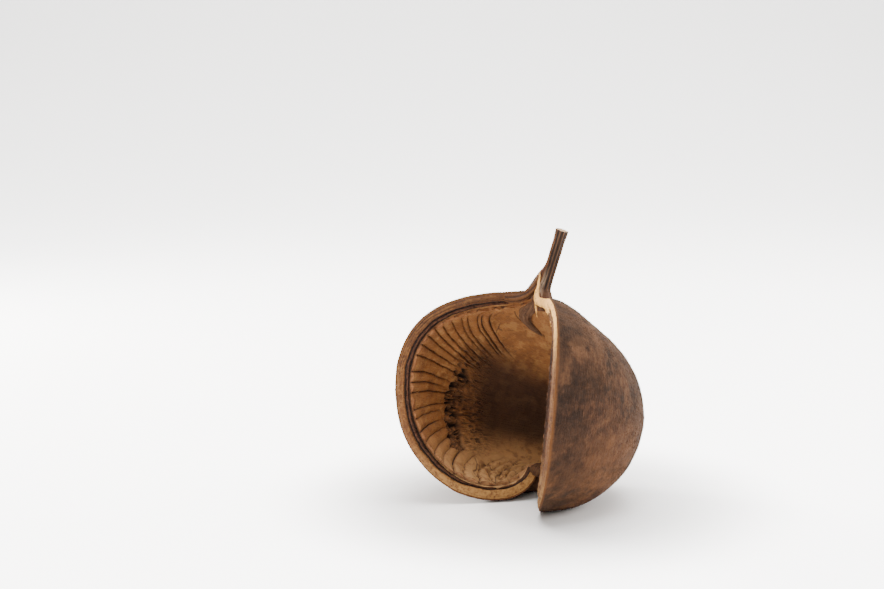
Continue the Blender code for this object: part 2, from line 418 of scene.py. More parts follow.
# Toward the stalk the right lip's band is painted pale: a pale golden tone with a painted highlight; the
# rest of the band takes painted shade.
LIT_BAND_S = (0.41, -0.26)


def line_at(depth, middle, width):
    return np.exp(-((depth - middle) / width) ** 2)


def grooves(depth, s, side):
    # Long cracks that run along the rim, stronger on the upper part of the left lip.
    along = grain(0.0, s)
    total = np.zeros_like(depth)
    upper = blend(GROOVE_SHARE[side], (s - GROOVE_S[0]) / GROOVE_S[1])
    for middle, seed in LIP_GROOVES:
        wander = middle + rough(along, (1.0, 34.0, 1.0), seed + side)
        patchy = 0.75 + 1.4 * rough(along, (1.0, 24.0, 1.0), seed + 7 + side)
        strength = np.clip(patchy, 0.0, 1.0) * upper
        line = line_at(depth, wander[:, None], GROOVE_WIDTH)
        total = np.maximum(total, strength[:, None] * line)
    return total


def lip_section(side, s):
    # Profile of the lip for every row, as depth and height, with its fibrous ridges.
    profile = np.array(LIP_PROFILE)
    profile = even_steps(profile, run_along(profile), LIP_ACROSS)
    dd, ss = np.meshgrid(profile[:, 0], s)
    where = np.stack([dd, ss * ALONG_MM, np.zeros_like(dd)], axis=-1)

    def cloud(size, step):
        return rough(where, size, LIP_SEED[side] + step)

    rim = within(dd, RIM_ZONE)
    ridge_share = blend(RIDGE_SHARE[side], (ss - RIDGE_S[0]) / RIDGE_S[1])
    ridges = ridged(where, (1.25, 26.0, 1.0), LIP_SEED[side]) - 0.5
    fibres = cloud((0.45, 9.0, 1.0), 1)
    checks = np.minimum(cloud((2.2, 1.1, 1.0), 2), 0.0)
    groove = grooves(dd, s, side) * rim
    ragged = cloud((1.0, 2.2, 1.0), 4)
    height = profile[:, 1] + rim * ridge_share * (0.34 * ridges + 0.15 * fibres) - GROOVE_DEPTH * groove
    height += rim * (0.14 * checks + 0.24 * cloud((9.0, 14.0, 1.0), 3) + 0.10 * cloud(1.1, 8))
    height += rise(dd, TORN_LIP) * (0.8 * ragged + 0.55 * cloud((3.0, 5.0, 1.0), 5))
    wide = WIDE_RIM * within(ss, WIDE_S)
    shift = np.interp(dd, (0.0, RIM_DEPTH, LIP_PROFILE[-1][0]), (0.0, 1.0, 0.0)) * wide
    sway = rough(grain(0.0, s), (1.0, 9.0, 1.0), LIP_SEED[side] + 6)[:, None]
    depth = dd + shift + 0.45 * sway * np.clip(dd / 3.0, 0.0, 1.0)
    return dd, depth, height, ridges, groove, ragged


def make_lip(name, side, material):
    s = np.linspace(0.0, 1.0, LIP_ROWS + 1)
    t = t_at(s)
    edge = np.full_like(s, side)
    base = skin(edge, t)
    inward, around = skin_frame(edge, t)
    base = base - inward * dents(base)[:, None]
    out = around * side * lip_form(t)[:, None]
    share = wall_share(1.0, t)[:, None, None]
    nominal, depth, height, ridges, groove, ragged = lip_section(side, s)
    split = rise(nominal, SPLIT_ZONE)
    if side > 0:
        # Toward the stalk the right lip is one pale crest over its whole width.
        whole = rise(s, CREST_S)[:, None]
        height = height * (1.0 - whole) + np.maximum(height, RIM_CREST) * whole
        split = split * (1.0 - whole)
    else:
        split = np.maximum(split, rise(s, DARK_END_S)[:, None])
    second = line_at(nominal, *FISSURE_RIDGE) * np.clip(0.6 + 1.3 * ragged, 0.0, 1.0)
    dark = sum(line_at(nominal, *fissure) for fissure in FISSURES)
    foot = np.array(LIP_FOOT)

    def with_foot(values, foot_values):
        return np.concatenate([values, np.broadcast_to(foot_values, (len(s), len(foot)))], axis=1)

    depth = with_foot(depth, foot[:, 0])
    height = with_foot(height, foot[:, 1])
    loops = base[:, None] + inward[:, None] * depth[..., None] * share + out[:, None] * height[..., None]
    # The right band's upper part carries a pale tone with a painted highlight, the rest of that band painted
    # shade.
    pale = rise(s, LIT_BAND_S)[:, None] * (side > 0)
    masks = {"split": with_foot(split, 1.0), "dark": with_foot(dark * split, 0.0),
             "groove": with_foot(groove, 0.0), "crest": with_foot(np.clip(0.5 + ridges, 0.0, 1.0), 0.0),
             "glow": with_foot(second * split, 0.0), "pale": np.broadcast_to(pale, depth.shape),
             "band_shade": np.broadcast_to((side > 0) * (1.0 - pale), depth.shape)}
    flow = np.stack([depth, np.broadcast_to((s * ALONG_MM)[:, None], depth.shape),
                     np.full_like(depth, 50.0 * side)], axis=-1)
    piece = loft(name, loops, masks, flow)
    keep(piece, material)


# Lining: thin layer inside with furrows that run in from the lips to a torn, crumbled zone.
# It is made in two halves that overlap a little at the back.
LINING_ROWS = 520
LINING_COLUMNS = 150
LINING_NEAR_F = 0.45
LINING_FAR_DENSITY = 0.35
LINING_OVERLAP = 0.012
LINING_TUCK = 0.3
LINING_BACK_COLUMNS = 12
LINING_BACK_DEPTH = (8.0, 4.2)
LINING_BACK_TURN = 0.06
LINING_EDGE = ((8.95, -1.1), (8.65, -0.8), (8.4, -0.95), (8.25, -1.4), (8.2, -2.3))

# Furrows: a pair holds the value of the upper ones and of the lowest, and a name in S holds
# where a change starts in s and how far it takes. The reach is a list of s and f.
LINING_FURROWS = 26
FURROW_TARGET = 0.47
FURROW_PULL = (1.15, 0.75)
FURROW_POWER = (1.0, 1.25)
FURROW_TURN_S = (0.74, 0.10)
FURROW_LOW_CROWD = 0.85
FURROW_CROWD_S = (0.66, 0.08)
FURROW_REACH = ((0.0, 0.42), (0.15, 0.46), (0.30, 0.58), (0.42, 0.70), (0.66, 0.76), (0.78, 0.72),
                (0.85, 0.46), (0.92, 0.26), (1.0, 0.20))
FURROW_DEPTH = 0.60
FURROW_WIDTH = 0.45
PANEL_TILT = 0.8
PANEL_CROWN = 0.9
TORN_PATH = ((0.62, 0.42), (0.65, 0.47), (0.68, 0.51), (0.70, 0.55), (0.705, 0.60), (0.735, 0.65))
TORN_DRIFT = 4.0
TORN_ZONE = (10.0, -6.5)
PIT_DEPTH = 3.8
LOW_S = (0.68, 0.12)
WRINKLED_F = ((0.42, 0.14), (0.70, -0.07))
WRINKLED_S = ((0.24, 0.08), (0.71, -0.05))
# The deep hollow toward the back is painted dark brown as painted shade, and carries fine striations.
DEEP_SHADE_F = (0.66, -0.20)
DEEP_SHADE_S = ((0.20, 0.14), (0.70, -0.14))
CRACK_WIDTH = 0.55
CRACK_DEPTH = 0.5
# Dark crack lines as paths in f and s. The third, beside the root, is a painted shadow of the root; the
# others are cracks.
CRACKS = (((-0.575, 0.160), (-0.555, 0.18), (-0.545, 0.20)), ((-0.555, 0.18), (-0.52, 0.18)),
          ((-0.66, 0.07), (-0.45, 0.095), (-0.20, 0.12)),
          ((-0.615, 0.745), (-0.59, 0.755), (-0.605, 0.775), (-0.585, 0.79)),
          ((-0.97, 0.87), (-0.80, 0.85), (-0.62, 0.82), (-0.44, 0.79), (-0.33, 0.73)),
          ((-0.90, 0.905), (-0.68, 0.895), (-0.50, 0.855), (-0.34, 0.81)),
          ((-0.86, 0.80), (-0.82, 0.775), (-0.75, 0.77), (-0.69, 0.745), (-0.66, 0.715)))
ROOT_HOLE = (-0.168, 0.119, 1.9)
ROOT_HOLE_DEPTH = 2.4


def away_from(path, f, s):
    # Distance in mm on the surface from a path given in f and s.
    points = np.stack([f * ROUND_MM, s * ALONG_MM], axis=-1)
    corners = np.array(path) * (ROUND_MM, ALONG_MM)
    nearest = np.full(f.shape, 1000.0)
    for start, end in zip(corners[:-1], corners[1:]):
        way = end - start
        part = np.clip(((points - start) @ way) / (way @ way), 0.0, 1.0)
        nearest = np.minimum(nearest, np.linalg.norm(points - start - part[..., None] * way, axis=-1))
    return nearest


def furrow_number(f, s):
    # Whole numbers lie on the furrows, which bend toward the middle on their way in.
    maker = np.random.RandomState(5)
    lines = np.arange(1, LINING_FURROWS + 1) + maker.uniform(-0.27, 0.27, LINING_FURROWS)
    lines = np.concatenate([[0.0], lines / (LINING_FURROWS + 1.0), [1.0]])
    q = np.linspace(0.0, 1.0, 501)
    crowd = np.cumsum(1.0 - (1.0 - FURROW_LOW_CROWD) * rise(q, FURROW_CROWD_S))
    lines = np.interp(lines, (crowd - crowd[0]) / (crowd[-1] - crowd[0]), q)
    lower = (q - FURROW_TURN_S[0]) / FURROW_TURN_S[1]
    pull = blend(FURROW_PULL, lower)
    power = blend(FURROW_POWER, lower)
    number = np.empty_like(s)
    for column in range(f.shape[1]):
        bent = q + (FURROW_TARGET - q) * (1.0 - np.exp(-pull * (1.0 - abs(f[0, column])) ** power))
        at = np.interp(s[:, column], np.maximum.accumulate(bent) + q * 0.00001, q)
        number[:, column] = np.interp(at, lines, np.arange(len(lines)))
    return number


def lining_columns(side):
    # Close together between the lip and the torn zone, further apart at the back.
    f = np.linspace(1.0, -LINING_OVERLAP, 2001)
    density = np.where(f > LINING_NEAR_F, 1.0, LINING_FAR_DENSITY)
    run = np.concatenate([[0.0], np.cumsum(density[1:])])
    return side * np.interp(np.linspace(0.0, run[-1], LINING_COLUMNS + 1), run, f)


def lining_relief(ff, ss, surface, side):
    # Height over the plain lining, with the masks for its colours.
    away = np.abs(ff)
    seed = 30 if side < 0 else 130
    flow = grain(ff, ss)
    low = rise(ss, LOW_S)
    crooked = 1.1 * rough(flow, (22.0, 16.0, 1.0), seed)
    crooked = crooked + (0.5 + 1.9 * low) * rough(flow, (5.0, 5.0, 1.0), seed + 1)
    calm = ease((1.0 - away) / 0.06)
    number = furrow_number(ff, np.clip(ss + crooked * calm / ALONG_MM, 0.0, 1.0))
    slope_s, slope_f = np.gradient(number)
    slope_s = slope_s / np.maximum(np.gradient(ss * ALONG_MM, axis=0), 0.001)
    slope_f = slope_f / np.maximum(np.abs(np.gradient(ff * ROUND_MM, axis=1)), 0.001)
    gap = 1.0 / np.maximum(np.hypot(slope_s, slope_f), 0.02)
    nearest = np.round(number).astype(int)
    distance = np.abs(number - nearest) * gap
    maker = np.random.RandomState(8)
    strength = maker.uniform(0.45, 1.15, LINING_FURROWS + 3)
    start = np.arange(LINING_FURROWS + 3) / (LINING_FURROWS + 1.0)
    reach = np.interp(start, *np.array(FURROW_REACH).T) + maker.uniform(-0.05, 0.05, LINING_FURROWS + 3)
    fade = ease((away - reach[nearest] + 0.05) / 0.12)
    inner = (nearest > 0) & (nearest < LINING_FURROWS + 1)
    ends = ease(ss / 0.04) * ease((1.0 - ss) / 0.04)
    torn_distance = away_from(TORN_PATH, away, ss) + TORN_DRIFT * rough(flow, (7.0, 7.0, 1.0), seed + 2)
    torn = rise(torn_distance, TORN_ZONE)
    wrinkled = within(away, WRINKLED_F) * within(ss, WRINKLED_S) * (1.0 - 0.6 * torn)
    deep_shade = rise(away, DEEP_SHADE_F) * within(ss, DEEP_SHADE_S)
    cut = strength[nearest] * fade * inner * (1.0 - torn) * ends
    phase = number - np.floor(number)
    panel = PANEL_TILT * (0.5 - phase) + PANEL_CROWN * np.sin(np.pi * phase)
    panel = panel * fade * ends * (1.0 + 0.7 * low) * (1.0 - 0.8 * torn)
    bent = flow + 2.5 * rough(flow, (6.0, 6.0, 1.0), seed + 13)[..., None]
    holes = 1.3 * rough(bent, (9.0, 6.0, 1.0), seed + 3) + 0.6 * rough(bent, (3.0, 2.0, 1.0), seed + 4)
    crevice = ease((ridged(bent, (12.0, 7.0, 1.0), seed + 14) - 0.74) / 0.12)
    pits = ease((torn - 0.15) / 0.35) * np.maximum(ease((holes + 0.02) / 0.22), 0.85 * crevice)
    lumps = 0.5 - ridged(bent, (7.0, 4.5, 1.0), seed + 5)
    curled = flow + 3.0 * rough(flow, (8.0, 8.0, 1.0), seed + 6)[..., None]
    wrinkles = ridged(curled, (9.0, 2.4, 1.0), seed + 7)
    stria = rough(flow, (24.0, 0.9, 1.0), seed + 8)
    furrow = line_at(distance, 0.0, FURROW_WIDTH * (1.0 + 0.4 * low))
    height = panel - FURROW_DEPTH * (1.0 + low) * cut * furrow
    height += torn * (1.5 * lumps + 0.6 * rough(surface, 1.3, seed + 9)) * (1.0 - pits)
    height += wrinkled * (1.0 * (wrinkles - 0.4) + 0.35 * rough(flow, (3.0, 1.3, 1.0), seed + 10))
    height += deep_shade * 0.20 * stria + 0.12 * rough(surface, 2.6, seed + 11)
    height += 0.40 * rough(surface, 15.0, seed + 12) * ends - PIT_DEPTH * pits
    crack_and_shadow = np.zeros_like(ff)
    if side < 0:
        for path in CRACKS:
            crack_and_shadow = np.maximum(crack_and_shadow, line_at(away_from(path, ff, ss), 0.0, CRACK_WIDTH))
        hole = away_from((ROOT_HOLE[:2], ROOT_HOLE[:2] + np.array([0.001, 0.0])), ff, ss)
        hole = 1.0 - ease(hole / ROOT_HOLE[2] - 0.4)
        height -= CRACK_DEPTH * crack_and_shadow + ROOT_HOLE_DEPTH * hole
        pits = np.maximum(pits, hole)
    # The pit mask carries painted shade into the holes and crevices.
    masks = {"number": number, "gap": gap, "cut": cut, "torn": torn, "pit": pits,
             "wrinkle": wrinkled * np.clip(1.0 - wrinkles, 0.0, 1.0), "crack_and_shadow": crack_and_shadow, "deep_shade": deep_shade}
    return height, masks


def make_lining(name, side, material):
    s = np.linspace(0.0, 1.0, LINING_ROWS + 1)
    f = lining_columns(side)
    ff, ss = np.meshgrid(f, s)
    tt = t_at(ss)
    base = skin(ff, tt)
    inward, around = skin_frame(ff, tt)
    share = wall_share(ff, tt)
    height, masks = lining_relief(ff, ss, base + inward * (WALL * share)[..., None], side)
    tuck = LINING_TUCK * ease(-ff * side / LINING_OVERLAP) if side > 0 else 0.0
    inside = base + inward * ((WALL + height - tuck) * share)[..., None]
    side_share = share[:, :1]
    form = lip_form(t_at(s))[:, None]
    ragged = 0.9 * rough(grain(0.0, s), (1.0, 2.3, 1.0), 40)[:, None]
    out = around[:, 0] * side * form
    inside[:, 0] += out * (-0.95 + 0.6 * ragged)
    edge = [base[:, 0] + inward[:, 0] * depth * side_share + out * (lift + ragged)
            for depth, lift in LINING_EDGE]
    back = side * np.linspace(-LINING_OVERLAP, 1.0, LINING_BACK_COLUMNS + 1)
    bb, bs = np.meshgrid(back, s)
    behind = under_skin(bb, t_at(bs), blend(LINING_BACK_DEPTH, (1.0 - np.abs(bb)) / LINING_BACK_TURN))
    loops = np.concatenate([inside, behind, np.stack(edge[::-1], axis=1)], axis=1)

    masks["lip"] = ease((np.abs(ff) - 0.985) / 0.015)
    for key, values in masks.items():
        # The lip's edge carries on what the lining shows next to it.
        hidden = np.repeat(values[:, -1:], len(back), axis=1)
        masks[key] = np.concatenate([values, hidden, np.repeat(values[:, :1], len(edge), axis=1)], axis=1)
    edge_flow = grain(side, np.repeat(s[:, None], len(edge), 1))
    flow = np.concatenate([grain(ff, ss), grain(bb, bs), edge_flow], axis=1)
    piece = loft(name, loops, masks, flow)
    keep(piece, material)


# Tubes of an oval section, for the strands that join the lips to the stalk and for the root.
TUBE_SIDES = 36
TUBE_STEPS = 150
TUBE_SMOOTHING = 19


def smooth_path(points, steps):
    # Even steps along a path of points, with its corners rounded.
    points = np.array(points, dtype=float)
    path = even_steps(points, run_along(points[:, :3]), steps)
    margin = TUBE_SMOOTHING // 2
    before = 2.0 * path[:1] - path[margin:0:-1]
    after = 2.0 * path[-1:] - path[-2:-margin - 2:-1]
    padded = np.concatenate([before, path, after])
    kernel = np.ones(TUBE_SMOOTHING) / TUBE_SMOOTHING
    return np.stack([np.convolve(column, kernel, "valid") for column in padded.T], axis=1)


def make_tube(name, path, outward, ridge_count, ridge_depth, seed, paint_masks, material):
    # The path's rows hold a point, its half width and its half thickness toward outward.
    rows = smooth_path(path, TUBE_STEPS)
    centre, half_width, half_depth = rows[:, :3], rows[:, 3:4], rows[:, 4:5]
    way = unit(np.gradient(centre, axis=0))
    outward = np.broadcast_to(outward, centre.shape)
    side = unit(np.cross(way, outward))
    up = unit(np.cross(side, way))
    turn = np.linspace(0.0, 2.0 * math.pi, TUBE_SIDES, endpoint=False)
    run = run_along(centre)
    tt, rr = np.meshgrid(turn, run)
    where = np.stack([np.cos(tt) * 3.0, np.sin(tt) * 3.0, rr], axis=-1)
    twist = 0.8 * rough(grain(0.0, run / ALONG_MM), (1.0, 14.0, 1.0), seed)[:, None]
    wave = np.cos(ridge_count * (tt + twist))
    size = 1.0 + ridge_depth * wave + 0.09 * rough(where, (0.7, 0.7, 5.0), seed + 1)
    size = size + 0.12 * rough(where, (2.0, 2.0, 4.0), seed + 2)
    loops = centre[:, None] + side[:, None] * (half_width * np.cos(turn) * size)[..., None]
    loops = loops + up[:, None] * (half_depth * np.sin(turn) * size)[..., None]
    share = np.broadcast_to((run / run[-1])[:, None], size.shape)
    masks = {key: np.broadcast_to(values(share, wave), size.shape) for key, values in paint_masks.items()}
    flow = np.stack([tt * 3.0, rr, np.full_like(tt, seed)], axis=-1)
    piece = loft(name, loops, masks, flow)
    keep(piece, material)


def round_axis(angle_deg, radius, height):
    # Point at an angle round the form's axis; the height counts from the stem point.
    turn = math.radians(angle_deg)
    return (radius * math.sin(turn), radius * math.cos(turn), STEM_Z + height)


# Stalk: height from the stem point, radius.
STALK_RINGS = ((-12.0, 4.6), (-8.0, 5.6), (-5.5, 5.5), (-3.5, 4.7), (-1.0, 4.1), (2.0, 3.75), (6.0, 3.55),
               (12.0, 3.45), (20.0, 3.35), (28.0, 3.4), (33.2, 3.65))
STALK_LEAN_DEG = 13.8
STALK_LEAN_TOWARD_DEG = 9.0
STALK_SIDES = 160
STALK_STEPS = 120
STALK_FLUTES = 9
FLUTE_DEPTH = 0.20
FLUTE_START = -3.0
FLUTE_RUN_OUT = 5.0
FRONT_RIGHT_DEG = 38.0
CUT_SLOPE = 0.09
# Angle round the stalk and spread of a tint, in degrees.
# The reddish flank on the view's left is painted lighter too: reddish tone with painted light.
WARM_LIT_FLANK = (-133.0, 52.0)
WEATHERED = (176.0, 34.0)


def flat_direction(degrees):
    turn = math.radians(degrees)
    return np.array([math.cos(turn), math.sin(turn), 0.0])


STALK_LEAN = flat_direction(STALK_LEAN_TOWARD_DEG) * math.tan(math.radians(STALK_LEAN_DEG))


def stalk_form(angle, height):
    # Point on the stalk, and the masks of its flutes, for arrays of angle and height.
    rings = np.array(STALK_RINGS)
    front_right = flat_direction(FRONT_RIGHT_DEG - 90.0)
    radius = np.interp(height, rings[:, 0], rings[:, 1])
    bark = np.stack([np.sin(angle) * 4.0, np.cos(angle) * 4.0, height], axis=-1)
    drift = 0.55 * rough(bark, (3.0, 3.0, 30.0), 51)
    wave = 0.5 + 0.5 * np.cos(STALK_FLUTES * angle + 2.0 * drift)
    ridge = wave ** 3
    strength = ease((height - FLUTE_START) / FLUTE_RUN_OUT)
    uneven = np.clip(0.75 + 0.9 * rough(bark, (2.2, 2.2, 40.0), 55), 0.3, 1.3)
    size = radius * (1.0 - FLUTE_DEPTH * strength * (1.0 - ridge * uneven))
    size = size + 0.16 * rough(bark, (0.6, 0.6, 7.0), 52) + 0.16 * rough(bark, (2.0, 2.0, 5.0), 53)
    centre = STALK_LEAN[None] * np.maximum(height, 0.0)[:, None]
    spoke = np.stack([np.sin(angle), np.cos(angle), np.zeros_like(angle)], axis=-1) * size[:, None]
    top = STALK_RINGS[-1][0]
    tilt = -STALK_LEAN[None] * (np.maximum(height, 0.0) / top)[:, None]
    tilt = tilt - front_right[None] * (CUT_SLOPE * ease((height - top + 2.0) / 2.0))[:, None]
    point = centre + spoke
    point[:, 2] = STEM_Z + height + np.sum(tilt * spoke, axis=1)
    return point, strength * (1.0 - np.clip(ridge * 1.6 * uneven, 0.0, 1.0))


def toward(angle, degrees, spread_deg):
    # 1 where an angle round the stalk is near the given one.
    away = np.abs((angle - math.radians(degrees) + math.pi) % (2.0 * math.pi) - math.pi)
    return 1.0 - ease(away / math.radians(spread_deg))


def make_stalk(material):
    low, high = STALK_RINGS[0][0], STALK_RINGS[-1][0]
    step = (high - low) / STALK_STEPS
    deselect()
    bpy.ops.mesh.primitive_circle_add(vertices=STALK_SIDES, radius=1.0, fill_type="NGON",
                                      location=(0.0, 0.0, low))
    piece = bpy.context.object
    piece.name = "stalk"
    bpy.ops.object.transform_apply(location=True, rotation=False, scale=False)
    bpy.ops.object.mode_set(mode="EDIT")
    bpy.ops.mesh.select_mode(type="FACE")
    bpy.ops.mesh.select_all(action="SELECT")
    for _ in range(STALK_STEPS):
        bpy.ops.mesh.extrude_region_move(TRANSFORM_OT_translate={"value": (0.0, 0.0, step)})
    bpy.ops.mesh.inset(thickness=0.08, depth=0.0)
    face_outward()
    raw = raw_points(piece)
    height = raw[:, 2]
    angle = np.arctan2(raw[:, 0], raw[:, 1])
    spread = np.minimum(np.hypot(raw[:, 0], raw[:, 1]), 1.0)
    point, flute_shade = stalk_form(angle, height)
    one_side, _ = stalk_form(np.zeros_like(angle), height)
    other_side, _ = stalk_form(np.full_like(angle, math.pi), height)
    middle = (one_side + other_side) / 2.0
    inner = (1.0 - spread)[:, None]
    shaped = point * (1.0 - inner) + middle * inner
    set_points(piece, shaped)
    cut = ((height > high - 0.01) & (spread < 0.97)).astype(float)
    warm_lit = toward(angle, *WARM_LIT_FLANK) * (0.35 + 0.65 * ease((height - 6.0) / 8.0))
    weather = toward(angle, *WEATHERED) * (1.0 - ease((height - 3.0) / 11.0)) * ease((height + 5.0) / 2.0)
    flow = np.stack([angle * 4.0, height, spread * 4.0], axis=-1)
    store(piece, {"flute_shade": flute_shade, "cut": cut, "warm_lit": warm_lit, "weather": weather}, flow)
    bpy.ops.object.shade_smooth_by_angle(angle=math.radians(50.0))
    keep(piece, material)


# The left lip runs up the stalk as a strand: radius, height, half width, half thickness.
LEFT_PLANE_DEG = -138.5
LEFT_STRAND = ((22.0, -6.0, 2.0, 2.4), (16.0, -6.1, 2.45, 2.7), (11.2, -5.0, 2.35, 2.6), 
               (8.2, -2.0, 2.1, 2.4), (5.8, 1.2, 2.1, 2.3), (3.6, 4.6, 2.2, 2.3), (2.5, 8.0, 1.8, 1.9))
LEFT_FLANK = ((12.0, 1.0, 1.2), (18.0, 0.85, 0.9), (25.0, 0.7, 0.7), (31.0, 0.3, 0.3))
FLANK_DEG = -152.0
FLANK_SHARE = 0.80

# The right lip bends round the stalk's foot as a pale crest and runs up its front:
# angle round the axis, radius, height, half width, half thickness.
CREST_RING = ((131.5, 25.5, -18.0, 1.2, 1.6), (131.5, 21.5, -11.6, 2.1, 2.2), (131.5, 15.0, -8.6, 2.6, 2.5),
              (133.0, 10.0, -7.6, 2.6, 2.6), (139.0, 7.2, -7.2, 2.5, 2.6),
              (153.0, 5.9, -7.2, 2.45, 2.3), (170.0, 5.5, -7.2, 2.4, 2.0), (186.0, 5.3, -6.2, 2.0, 1.7),
              (197.0, 5.0, -3.6, 1.45, 1.4), (201.0, 4.4, 0.0, 1.05, 1.1), (199.0, 3.9, 5.0, 0.8, 0.8),
              (196.0, 3.8, 9.5, 0.35, 0.4))
SPUR = ((188.0, 5.6, -6.5, 0.8, 0.9), (190.0, 5.4, -9.5, 0.6, 0.7), (184.0, 5.0, -13.0, 0.35, 0.4),
        (180.0, 4.6, -15.5, 0.15, 0.2))
SPUR_FACE_DEG = -95.0

# Root: a flattened wedge of fibres on the lining, as f, s, half width and half thickness.
ROOT_PATH = ((-0.60, -0.010, 4.0, 2.2), (-0.53, 0.035, 4.0, 2.4), (-0.44, 0.066, 3.2, 2.1), 
             (-0.372, 0.082, 2.5, 1.7), (-0.305, 0.094, 2.0, 1.4), (-0.253, 0.102, 1.6, 1.1),
             (-0.205, 0.111, 1.1, 0.8), (-0.185, 0.115, 0.6, 0.4))


def make_strands(material):
    def stalk_centre(height):
        return STALK_LEAN * height + np.array([0.0, 0.0, STEM_Z + height])

    path = [(*round_axis(LEFT_PLANE_DEG, radius, height), width, depth)
            for radius, height, width, depth in LEFT_STRAND]
    turn = math.radians(FLANK_DEG)
    spoke = np.array([math.sin(turn), math.cos(turn), 0.0]) * STALK_RINGS[-3][1] * FLANK_SHARE
    path += [(*(stalk_centre(height) + spoke), width, depth) for height, width, depth in LEFT_FLANK]
    face = flat_direction(180.0 - LEFT_PLANE_DEG)
    make_tube("left_strand", path, face, 5, 0.10, 61, {
        "groove": lambda share, wave: ease((-wave - 0.35) / 0.5),
        "crest": lambda share, wave: ease(wave),
        "warm_lit": lambda share, wave: ease((share - 0.42) / 0.2)}, material)

    # The crest and spur take the upper band's pale tone with its painted highlight.
    path = [(*round_axis(*row[:3]), *row[3:]) for row in CREST_RING]
    facing = [(*flat_direction(90.0 - row[0]), 0.0, 0.0) for row in CREST_RING]
    outward = smooth_path(facing, TUBE_STEPS)[:, :3]
    make_tube("crest", path, outward, 3, 0.05, 71, {
        "pale": lambda share, wave: 1.0,
        "weather": lambda share, wave: ease((share - 0.60) / 0.15)}, material)

    path = [(*round_axis(*row[:3]), *row[3:]) for row in SPUR]
    make_tube("spur", path, flat_direction(SPUR_FACE_DEG), 3, 0.05, 81, {
        "pale": lambda share, wave: 1.0,
        "weather": lambda share, wave: 0.5}, material)


def make_root(material):
    rows = np.array(ROOT_PATH)
    f, s = rows[:, 0], rows[:, 1]
    t = t_at(s)
    inward, _ = skin_frame(f, t)
    points = skin(f, t) + inward * (WALL * wall_share(f, t) + 0.35 * rows[:, 3])[:, None]
    path = np.concatenate([points, rows[:, 2:]], axis=1)
    outward = even_steps(inward, run_along(points), TUBE_STEPS)
    # The root's valleys take painted shade.
    make_tube("root", path, outward, 9, 0.09, 91, {
        "flute_shade": lambda share, wave: 0.4 * ease(-wave),
        "root": lambda share, wave: 1.0}, material)


# Knot in which the two halves meet over the notch.
BEAK_RADIUS = (7.2, 6.8, 3.9)
BEAK_DROP = 4.9
BEAK_BACK = 1.5


def make_beak(material):
    deselect()
    bpy.ops.mesh.primitive_uv_sphere_add(segments=96, ring_count=56, radius=1.0)
    piece = bpy.context.object
    piece.name = "beak"
    raw = raw_points(piece)
    points = raw * np.array(BEAK_RADIUS)
    fibres = rough(points, (0.9, 3.5, 2.0), 101)
    points = points * (1.0 + 0.12 * rough(raw, (0.5, 0.5, 0.9), 102) + 0.09 * fibres)[:, None]
    points = points + np.array([TIP_SHIFT[0], TIP_SHIFT[1] + BEAK_BACK, TIP_Z - BEAK_DROP])
    set_points(piece, points)
    masks = {"split": np.full(len(raw), 0.8), "glow": np.clip(fibres, 0.0, 1.0),
             "groove": np.clip(-1.6 * fibres, 0.0, 1.0)}
    store(piece, masks, np.stack([raw[:, 0] * 7.0, raw[:, 1] * 5.0, raw[:, 2] * 4.0], axis=-1))
    bpy.ops.object.shade_smooth()
    keep(piece, material)


# Short hairs of the velvety skin.
HAIRS = 46000
HAIR_LENGTH = (0.7, 1.5)
HAIR_WIDTH = (0.05, 0.085)
HAIR_LIFT_DEG = (10.0, 34.0)
HAIR_TURN = 0.45


def make_hairs(outer, inward, material):
    maker = np.random.RandomState(12)
    corner = outer[:-1, :-1]
    aside = outer[:-1, 1:] - corner
    down = outer[1:, :-1] - corner
    area = np.linalg.norm(np.cross(aside, down), axis=-1)
    clumps = np.clip(0.75 + 0.8 * rough(corner, 7.0, 71), 0.1, 2.0)
    weight = (area * clumps).ravel()
    chosen = maker.choice(weight.size, HAIRS, p=weight / weight.sum())
    row, column = np.unravel_index(chosen, area.shape)
    across = maker.uniform(0.0, 1.0, (HAIRS, 1))
    along = maker.uniform(0.0, 1.0, (HAIRS, 1))
    foot = corner[row, column] + aside[row, column] * across + down[row, column] * along
    normal = -inward[row, column]
    flow = unit(down[row, column])
    side = unit(np.cross(normal, flow))
    lean = maker.normal(0.0, HAIR_TURN, (HAIRS, 1))
    lift = np.radians(maker.uniform(*HAIR_LIFT_DEG, (HAIRS, 1)))
    lying = unit(flow + side * lean)
    tip_way = lying * np.cos(lift) + normal * np.sin(lift)
    length = maker.uniform(*HAIR_LENGTH, (HAIRS, 1))
    width = maker.uniform(*HAIR_WIDTH, (HAIRS, 1))
    across_way = unit(np.cross(tip_way, normal))
    foot = foot - normal * 0.05
    points = np.stack([foot + across_way * width, foot - across_way * width,
                       foot + normal * width * 1.4, foot + tip_way * length], axis=1)
    placed = place(points).reshape(-1, 3)
    start = np.arange(HAIRS)[:, None] * 4
    sides = np.array([[0, 1, 2], [0, 3, 1], [1, 3, 2], [2, 3, 0]])
    faces = (start[:, None, :] + sides[None]).reshape(-1, 3)
    mesh = bpy.data.meshes.new("hairs")
    mesh.from_pydata(placed.tolist(), [], faces.tolist())
    piece = bpy.data.objects.new("hairs", mesh)
    bpy.context.scene.collection.objects.link(piece)
    shade = np.repeat(np.clip(0.5 + 0.28 * maker.standard_normal(HAIRS), 0.0, 1.0), 4)
    store(piece, {"shade": shade})
    deselect()
    piece.select_set(True)
    bpy.context.view_layer.objects.active = piece
    bpy.ops.object.mode_set(mode="EDIT")
    face_outward()
    keep(piece, material)


# Materials.
def paint(red, green, blue):
    # Colour as seen on a screen, 0 to 255, to the linear values that a shader takes.
    channels = []
    for value in (red, green, blue):
        level = value / 255.0
        channels.append(level / 12.92 if level <= 0.04045 else ((level + 0.055) / 1.055) ** 2.4)
    return (*channels, 1.0)


